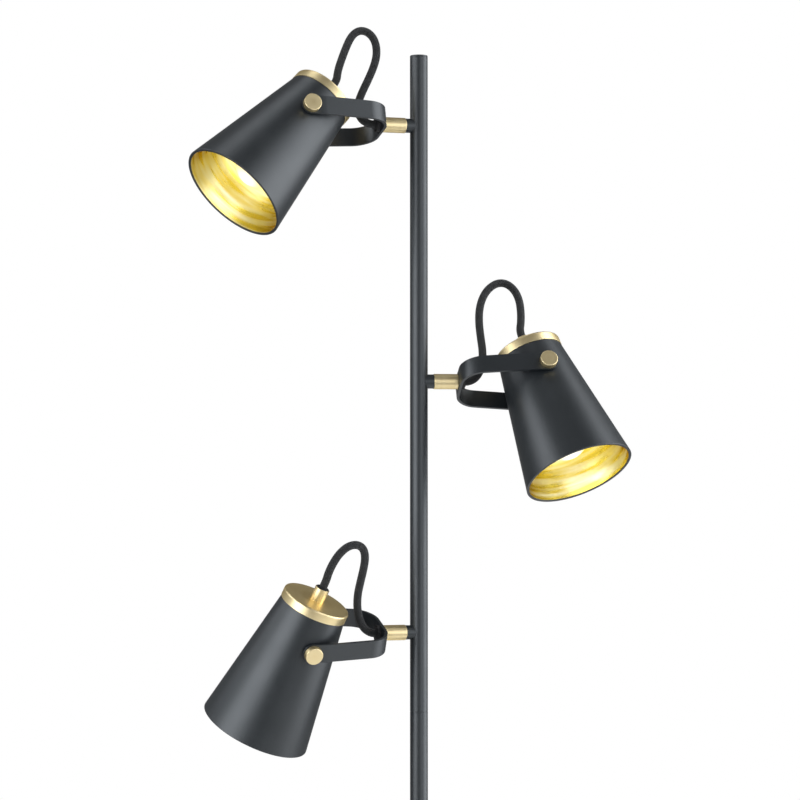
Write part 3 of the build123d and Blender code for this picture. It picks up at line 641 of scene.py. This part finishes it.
for head in HEADS:
    place = shade_places[head]
    lip_back = SHADE_MOUTH - LIP_T
    inside_top = SHADE_TOP + SHADE_TOP_T
    cone = outline([
        (SHADE_TOP, TUBE_R), (SHADE_TOP, SHADE_TOP_R), (SHADE_MOUTH, SHADE_MOUTH_R),
        (SHADE_MOUTH, SHADE_MOUTH_R - LIP), (lip_back, SHADE_MOUTH_R - LIP),
        (lip_back, shade_radius(lip_back) - SHADE_WALL),
        (inside_top, shade_radius(inside_top) - SHADE_WALL), (inside_top, TUBE_R)],
        roundings=[(4, LIP_EASE, 3), (3, LIP_EASE, 3), (2, MOUTH_EASE, 4), (1, SHADE_TOP_EASE, 3)])
    cone.verts.ensure_lookup_table()
    lining = [edge for edge in cone.edges
              if abs(edge.verts[0].co.x - edge.verts[1].co.x) > LINING_LEAST
              and max(point.co.x for point in edge.verts) < lip_back + ON_WALL]
    bmesh.ops.subdivide_edges(cone, edges=lining, cuts=LINING_CUTS)
    turned(cone, SHADE_STEPS)
    for point in cone.verts:
        along, side, height = point.co
        radius = hypot(side, height)
        inner = shade_radius(along) - SHADE_WALL
        between_ends = inside_top + LINING_MARGIN < along < lip_back - LINING_MARGIN
        if between_ends and abs(radius - inner) < ON_WALL:
            angle = atan2(side, height)
            swell = sum(share * noise.noise(Vector((along / length, change * cos(angle) + shift,
                                                    change * sin(angle))))
                        for share, length, change, shift in RIPPLES)
            ends = min(1.0, (along - inside_top) / RIPPLE_FADE, (lip_back - along) / RIPPLE_FADE)
            grown = 1 + RIPPLE * ends * swell / radius
            point.co.y *= grown
            point.co.z *= grown
    for face in cone.faces:
        middle = face.calc_center_median()
        radius = hypot(middle.y, middle.z)
        within = radius < shade_radius(middle.x) - SHADE_WALL / 2
        face.material_index = int(within and inside_top - ON_WALL < middle.x < lip_back - ON_WALL)
    fitted(head + "_cone", cone, place, [powder_coat, gold_leaf(head + "_gold_leaf", place)],
           head + "_shade_set", [head + "_shade"])


# Shade caps and cord glands: satin brass turnings screwed down on the shade's top.
# A black rubber ring in the gland's mouth grips the cord.
CAP_TOP = -35.4
CAP_R = 30.8
CAP_WALL = 2.2
CAP_ROUND = 1.6
GLAND_R = 6.5
GLAND_TOP = -47.4
GLAND_EASE = 0.4
GRIP_R = 5.8
GRIP_SEAT = -46.4
GRIP_TOP = -48.0
GRIP_EASE = 0.45
GRIP_PLAY = 0.05
CAP_STEPS = 144
GLAND_STEPS = 64
GRIP_STEPS = 48
CORD_HOLE = 3.7
THREAD_END = -42.9

for head in HEADS:
    place = shade_places[head]
    body = head + "_shade_set"
    brass = satin_brass(head + "_head_brass", place)
    cup = outline([
        (SHADE_TOP, CAP_R), (CAP_TOP, CAP_R), (CAP_TOP, TUBE_R), (CAP_TOP + CAP_WALL, TUBE_R),
        (CAP_TOP + CAP_WALL, CAP_R - CAP_WALL), (SHADE_TOP, CAP_R - CAP_WALL)],
        roundings=[(1, CAP_ROUND, 8), (0, EDGE_EASE, 2)])
    fitted(head + "_cap", turned(cup, CAP_STEPS), place, [brass], body, [head + "_shade_cap"])
    gland = outline([
        (CAP_TOP, TUBE_R), (CAP_TOP, GLAND_R), (GLAND_TOP, GLAND_R), (GLAND_TOP, GRIP_R + GRIP_PLAY),
        (GRIP_SEAT, GRIP_R + GRIP_PLAY), (GRIP_SEAT, CORD_HOLE), (THREAD_END, CORD_HOLE),
        (THREAD_END, TUBE_R)], roundings=[(2, GLAND_EASE, 3)])
    fitted(head + "_gland", turned(gland, GLAND_STEPS), place, [brass], body, [head + "_cord_gland"])
    grip = outline([
        (GRIP_SEAT, CORD_HOLE), (GRIP_SEAT, GRIP_R), (GRIP_TOP, GRIP_R), (GRIP_TOP, CORD_HOLE)],
        roundings=[(2, GRIP_EASE, 3), (3, EDGE_EASE, 2)])
    fitted(head + "_grip", turned(grip, GRIP_STEPS), place, [soft_rubber], body, [head + "_cord_grip"])
    dressed(head + "_holder_nipple", zinc)


# Lampholders: black bodies moulded in a hard plastic, with a threaded skirt below the shoulder.
# Each is screwed on the short tube that comes through the shade's top.
HOLDER_TOP = -25.8
HOLDER_SHOULDER = -5.8
HOLDER_END = 24.2
HOLDER_R = 13.5
SKIRT_R = 12.0
SOCKET_R = 7.1
SOCKET_START = -1.3
THREADS = 23
THREAD_DEPTH = 0.55
SHOULDER_EASE = 0.6
HOLDER_ROUND = 1.2
HOLDER_STEPS = 64
MOULDED_DARK = (0.012, 0.012, 0.013, 1)
MOULDED_LIGHT = (0.020, 0.020, 0.021, 1)
MOULDED_ROUGH = (0.32, 0.42)
MOULDED_GRAIN = (800.0, 0.12, 0.0001)

moulded = grained("moulded_plastic", MOULDED_DARK, MOULDED_LIGHT, MOULDED_ROUGH, *MOULDED_GRAIN)[0]
for head in HEADS:
    holder = outline([
        (HOLDER_TOP, TUBE_R), (HOLDER_TOP, HOLDER_R), (HOLDER_SHOULDER, HOLDER_R),
        (HOLDER_SHOULDER, SKIRT_R), (HOLDER_END, SKIRT_R), (HOLDER_END, SOCKET_R),
        (SOCKET_START, SOCKET_R), (SOCKET_START, TUBE_R)],
        roundings=[(2, SHOULDER_EASE, 3), (1, HOLDER_ROUND, 4)])
    skirt = [edge for edge in holder.edges
             if all(abs(point.co.z - SKIRT_R) < TOUCHING for point in edge.verts)]
    cuts = bmesh.ops.subdivide_edges(holder, edges=skirt, cuts=THREADS)["geom_inner"]
    rows = sorted((part for part in cuts if isinstance(part, bmesh.types.BMVert)),
                  key=lambda point: point.co.x)
    for groove in rows[::2]:
        groove.co.z -= THREAD_DEPTH
    fitted(head + "_holder", turned(holder, HOLDER_STEPS), shade_places[head], [moulded],
           head + "_shade_set", [head + "_lampholder"])


# Bulbs: small lit globes of gold tinted glass, on a plated screw base that sits in the lampholder.
# The tip shows the light itself and the sides are tinted. A small light ahead of each tip shines on
# the lining alone.
GLOBE_R = 22.5
GLOBE_MIDDLE = 57.1
GLOBE_START = 25.4
GLOBE_NECK_R = 7.68
GLOBE_SWEEP = 120.0
GLOBE_CUTS = 24
GLOBE_STEPS = 72
GLASS_ROUGH = 0.35
MIST_SCALE = 420.0
TINT_DARK = (0.22, 0.17, 0.07, 1)
TINT_LIGHT = (0.30, 0.24, 0.11, 1)
GLOW_SPAN = (0.050, 0.080)
GLOW_ZONES = [
    # metres from the pivots towards the mouth, and the colour of the light there
    (0.0560, (1.0, 0.94, 0.70, 1)), (0.0620, (0.38, 0.32, 0.12, 1)), (0.0740, (0.38, 0.32, 0.12, 1)),
    (0.0766, (0.45, 0.39, 0.21, 1)), (0.0784, (0.50, 0.48, 0.42, 1)), (0.0797, (0.66, 0.64, 0.60, 1)),
]
GLOW_STRENGTH = 2.1
BULB_POWER = 0.0100
BULB_COLOUR = (0.92, 0.95, 1.30)
BULB_SIZE = 14.0
BULB_AHEAD = 8.0


def lit_glass(name, place):
    """Tinted glass lit from inside, by zones along the axis of the globe."""
    material, tree, shader = new_finish(name)
    shader.inputs["Roughness"].default_value = GLASS_ROUGH
    mist = add(tree, "ShaderNodeTexNoise", {
        "Vector": own_place(tree), "Scale": MIST_SCALE, "Detail": 2.0}).outputs[0]
    tree.links.new(two_tone(tree, mist, TINT_DARK, TINT_LIGHT), shader.inputs["Base Color"])
    along = add(tree, "ShaderNodeSeparateXYZ", {0: laid(tree, place)}).outputs["X"]
    zones = add(tree, "ShaderNodeValToRGB", {0: spread(tree, along, *GLOW_SPAN, 0.0, 1.0)})
    stops = zones.color_ramp.elements
    for number, (at, colour) in enumerate(GLOW_ZONES):
        stop = stops[number] if number < len(stops) else stops.new(1.0)
        stop.position = (at - GLOW_SPAN[0]) / (GLOW_SPAN[1] - GLOW_SPAN[0])
        stop.color = colour
    tree.links.new(zones.outputs["Color"], shader.inputs["Emission Color"])
    shader.inputs["Emission Strength"].default_value = GLOW_STRENGTH
    return material


for head in HEADS:
    glass = lit_glass(head + "_lit_glass", shade_places[head])
    globe = bmesh.new()
    tip = globe.verts.new((GLOBE_MIDDLE + GLOBE_R, 0, 0))
    swept = bmesh.ops.spin(globe, geom=[tip], cent=(GLOBE_MIDDLE, 0, 0), axis=(0, -1, 0),
                           dvec=(0, 0, 0), angle=radians(GLOBE_SWEEP), steps=GLOBE_CUTS)["geom_last"]
    neck = globe.verts.new((GLOBE_START, 0, GLOBE_NECK_R))
    seat = globe.verts.new((GLOBE_START, 0, 0))
    globe.edges.new((swept[0], neck))
    globe.edges.new((neck, seat))
    fitted(head + "_globe", turned(globe, GLOBE_STEPS), shade_places[head], [glass],
           head + "_shade_set", [head + "_bulb_glass"])
    dressed(head + "_bulb_base", zinc)
    bulb = bpy.data.lights.new(head + "_bulb_light", "POINT")
    bulb.energy = BULB_POWER
    bulb.color = BULB_COLOUR
    bulb.shadow_soft_size = BULB_SIZE * MM
    lamp = bpy.data.objects.new(head + "_bulb_light", bulb)
    lamp.location = shade_places[head] @ Vector(((GLOBE_MIDDLE + GLOBE_R + BULB_AHEAD) * MM, 0, 0))
    lamp.visible_camera = False
    lined = bpy.data.collections.new(head + "_lit_lining")
    lined.objects.link(bpy.data.objects[head + "_cone"])
    lamp.light_linking.receiver_collection = lined
    scene.collection.objects.link(lamp)
    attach(lamp, head + "_shade_set")


# Pivots: flat brass knobs on screws, one each side, with a black ring between ear and shade and
# a plated nut inside. The knobs' faces show the lathe's rings and its centre pip.
EAR_FACE = 38.933
KNOB_FACE = 44.333
KNOB_R = 7.8
KNOB_EASE = 0.6
KNOB_BACK_EASE = 0.25
KNOB_STEPS = 72
SCREW_R = 2.5
SCREW_TIP = 27.6
KNOB_ROUGH = (0.34, 0.42)
PIP_R = 0.55
PIP_DEPTH = 0.3

for head in HEADS:
    place = shade_places[head] @ Matrix.Rotation(radians(90), 4, "Z")
    brass = satin_brass(head + "_knob_brass", place, KNOB_ROUGH)
    knobs = turned(outline([
        (SCREW_TIP, 0), (SCREW_TIP, SCREW_R), (EAR_FACE, SCREW_R), (EAR_FACE, KNOB_R),
        (KNOB_FACE, KNOB_R), (KNOB_FACE, PIP_R), (KNOB_FACE - PIP_DEPTH, 0)], closed=False,
        roundings=[(4, KNOB_EASE, 4), (3, KNOB_BACK_EASE, 2)]), KNOB_STEPS)
    bmesh.ops.mirror(knobs, geom=knobs.verts[:] + knobs.edges[:] + knobs.faces[:],
                     matrix=Matrix.Identity(4), merge_dist=TOUCHING, axis="X")
    bmesh.ops.recalc_face_normals(knobs, faces=knobs.faces)
    fitted(head + "_knobs", knobs, place, [brass], head + "_shade_set", [head + "_pivot_screws"])
    dressed(head + "_pivot_spacers", moulded)
    dressed(head + "_pivot_nuts", zinc)


# Cords: round flex in a black braided textile sleeve. Each comes out of its arm through the yoke's
# nut, loops up and goes into the gland's grip, and bends with the shade as it tilts.
CORD_D = 0.0072  # metres, like all sizes of the cords
CORD_START = (0.0396, 0.0)
TUBE_MOUTH = (0.0422, 0.0)
CORD_ROUTES = {
    "top": [
        (0.046, 0), (0.053, 0.0028), (0.0568, 0.010), (0.056, 0.020), (0.051, 0.031), (0.0445, 0.043),
        (0.0385, 0.055), (0.0345, 0.066), (0.0336, 0.076), (0.0355, 0.0845), (0.0405, 0.0902),
        (0.047, 0.0918), (0.0532, 0.089), (0.0585, 0.0825), (0.0634, 0.0725), (0.0684, 0.061),
        (0.0726, 0.050)],
    "middle": [
        (0.045, 0), (0.051, 0.0026), (0.0562, 0.0094), (0.0598, 0.0195), (0.061, 0.0325), (0.0603, 0.047),
        (0.060, 0.061), (0.0612, 0.075), (0.065, 0.088), (0.0714, 0.0984), (0.080, 0.1049),
        (0.0887, 0.105), (0.0959, 0.0983), (0.0997, 0.0875), (0.1002, 0.075), (0.0992, 0.063)],
    "bottom": [
        (0.0455, 0), (0.0525, 0.004), (0.0584, 0.013), (0.0622, 0.025), (0.0636, 0.038), (0.0626, 0.051),
        (0.0614, 0.063), (0.0612, 0.074), (0.064, 0.0828), (0.0705, 0.087), (0.0785, 0.0856),
        (0.0856, 0.0788), (0.0904, 0.0696), (0.0936, 0.060)],
}
CORD_BENDS = {
    # how far along the cord it leaves the yoke's turn, and how far along it has the shade's
    "top": (0.002, 0.180), "middle": (0.002, 0.144), "bottom": (0.002, 0.112),
}
CORD_EASE = 0.030
CORD_SEAT = 0.0468
CORD_STRAIGHT = 0.008
CORD_CUTS = 10
CORD_SIDES = 8
CORD_TOUCHING = 0.00001
# painted shade: the braid's colour is darker in the low gaps of the weave and lighter on its crests
BRAID_GAP_SHADE = (0.0025, 0.0027, 0.0032, 1)
BRAID_CREST = (0.0150, 0.0158, 0.0170, 1)
BRAID_ROUGH = 0.75
BRAID_SHEEN = 0.12
BRAID_SHEEN_ROUGH = 0.4
BRAID_RELIEF = (0.5, 0.0003)
STRANDS_ROUND = 12
STRANDS_ALONG = 75
STRAND_SPAN = (-0.6, 1.0)

braid, tree, shader = new_finish("braided_sleeve")
turns = add(tree, "ShaderNodeUVMap", uv_map="UVMap").outputs[0]
axes = add(tree, "ShaderNodeSeparateXYZ", {0: turns}).outputs
lean = maths(tree, "MULTIPLY", axes["X"], 2 * pi * STRANDS_ROUND)
pitch = maths(tree, "MULTIPLY", axes["Y"], 2 * pi * STRANDS_ALONG)
first = maths(tree, "SINE", maths(tree, "ADD", lean, pitch))
second = maths(tree, "SINE", maths(tree, "SUBTRACT", lean, pitch))
weave = maths(tree, "MAXIMUM", first, second)
# The weave that raises the relief also paints the colour: painted shade in its low gaps, lighter on its
# crests.
shaded_weave = two_tone(tree, spread(tree, weave, *STRAND_SPAN, 0, 1), BRAID_GAP_SHADE, BRAID_CREST)
tree.links.new(shaded_weave, shader.inputs["Base Color"])
shader.inputs["Roughness"].default_value = BRAID_ROUGH
shader.inputs["Sheen Weight"].default_value = BRAID_SHEEN
shader.inputs["Sheen Roughness"].default_value = BRAID_SHEEN_ROUGH
bump(tree, shader, weave, *BRAID_RELIEF)

for head in HEADS:
    place = yoke_places[head]
    pivot = Vector((PIVOT_X * MM, 0, 0))
    toward = (place.inverted() @ shade_places[head]).to_3x3() @ Vector((-1, 0, 0))
    ends = [pivot + toward * (CORD_SEAT + CORD_STRAIGHT), pivot + toward * CORD_SEAT]
    route = [CORD_START, TUBE_MOUTH] + CORD_ROUTES[head] + [(end.x, end.z) for end in ends]
    curve = bpy.data.curves.new(head + "_cord_line", "CURVE")
    curve.dimensions = "3D"
    curve.resolution_u = CORD_CUTS
    spline = curve.splines.new("NURBS")
    spline.points.add(len(route) - 1)
    for point, (out, up) in zip(spline.points, route):
        point.co = (*(place @ Vector((out, 0, up))), 1)
    spline.order_u = 3
    spline.use_endpoint_u = True
    drawn = bpy.data.objects.new(head + "_cord_line", curve)
    scene.collection.objects.link(drawn)
    line = bpy.data.meshes.new_from_object(drawn.evaluated_get(bpy.context.evaluated_depsgraph_get()))
    path = [point.co.copy() for point in line.vertices]
    curve.bevel_depth = CORD_D / 2
    curve.bevel_resolution = CORD_SIDES
    curve.use_fill_caps = True
    tube = bpy.data.meshes.new_from_object(drawn.evaluated_get(bpy.context.evaluated_depsgraph_get()))
    bpy.data.objects.remove(drawn)
    tube.name = head + "_cord"
    sleeve = bmesh.new()
    sleeve.from_mesh(tube)
    bmesh.ops.remove_doubles(sleeve, verts=sleeve.verts, dist=CORD_TOUCHING)
    for face in sleeve.faces:
        face.smooth = True
    sleeve.to_mesh(tube)
    sleeve.free()
    tube.materials.clear()
    tube.materials.append(braid)
    cord = bpy.data.objects.new(head + "_cord", tube)
    scene.collection.objects.link(cord)
    steps = ((after - before).length for before, after in zip(path, path[1:]))
    run = list(accumulate(steps, initial=0))
    middles = KDTree(len(path))
    for number, middle in enumerate(path):
        middles.insert(middle, number)
    middles.balance()
    begin, end = CORD_BENDS[head]
    turn_ends = [min(range(len(path)), key=lambda number: abs(run[number] - along))
                 for along in (begin, end)]
    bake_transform(cord, head + "_yoke_set", head + "_shade_set",
             start=path[turn_ends[0]], end=path[turn_ends[1]])
    # Every ring of the sleeve turns as one, so the cord stays round. It turns less where the pivots are
    # far, so that each stretch of it swings aside about as much and its length changes little.
    rates = [smoothstep(begin, begin + CORD_EASE, at) * smoothstep(end, end - CORD_EASE, at)
             / (middle - place @ pivot).length for at, middle in zip(run, path)]
    steps = ((first + second) * (after - before)
             for first, second, before, after in zip(rates, rates[1:], run, run[1:]))
    shares = list(accumulate(steps, initial=0))
    for vertex, turned_by in zip(tube.vertices, tube.attributes["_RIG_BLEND"].data):
        turned_by.value = shares[middles.find(vertex.co)[1]] / shares[-1]
    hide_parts(head + "_flex_cord")
